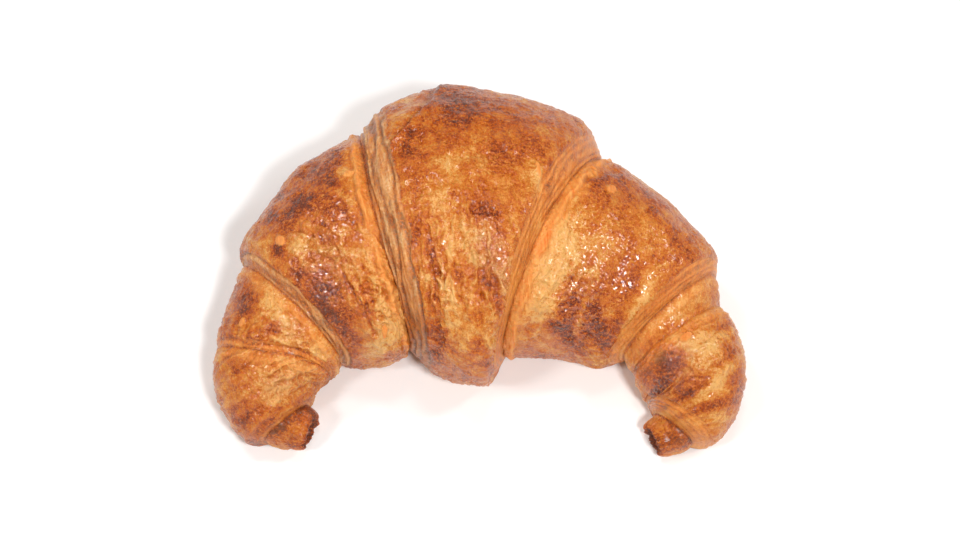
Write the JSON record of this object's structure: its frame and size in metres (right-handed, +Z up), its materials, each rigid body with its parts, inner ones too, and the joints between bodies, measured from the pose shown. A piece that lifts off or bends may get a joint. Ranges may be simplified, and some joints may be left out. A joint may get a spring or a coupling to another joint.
{
  "type": "croissant",
  "caption": "Baked croissant: a crescent of rolled, layered pastry with overlapping turns that taper to two curled tips and a flat baked underside.",
  "frame": {"origin": "middle of the bounding box's bottom face, on the surface the croissant rests on", "axes": "+X from the left horn to the right one, +Y towards the rounded back of the crescent, so the horns point to -Y, +Z up"},
  "size_m": [0.1492, 0.1018, 0.0543],
  "materials": {
    "crust": "egg-washed bread crust: semi-gloss golden brown, darker where it caught the heat, pale and matt on the layered edges of the turns"
  },
  "bodies": {
    "root": {"croissant": "crust"}
  },
  "joints": []
}
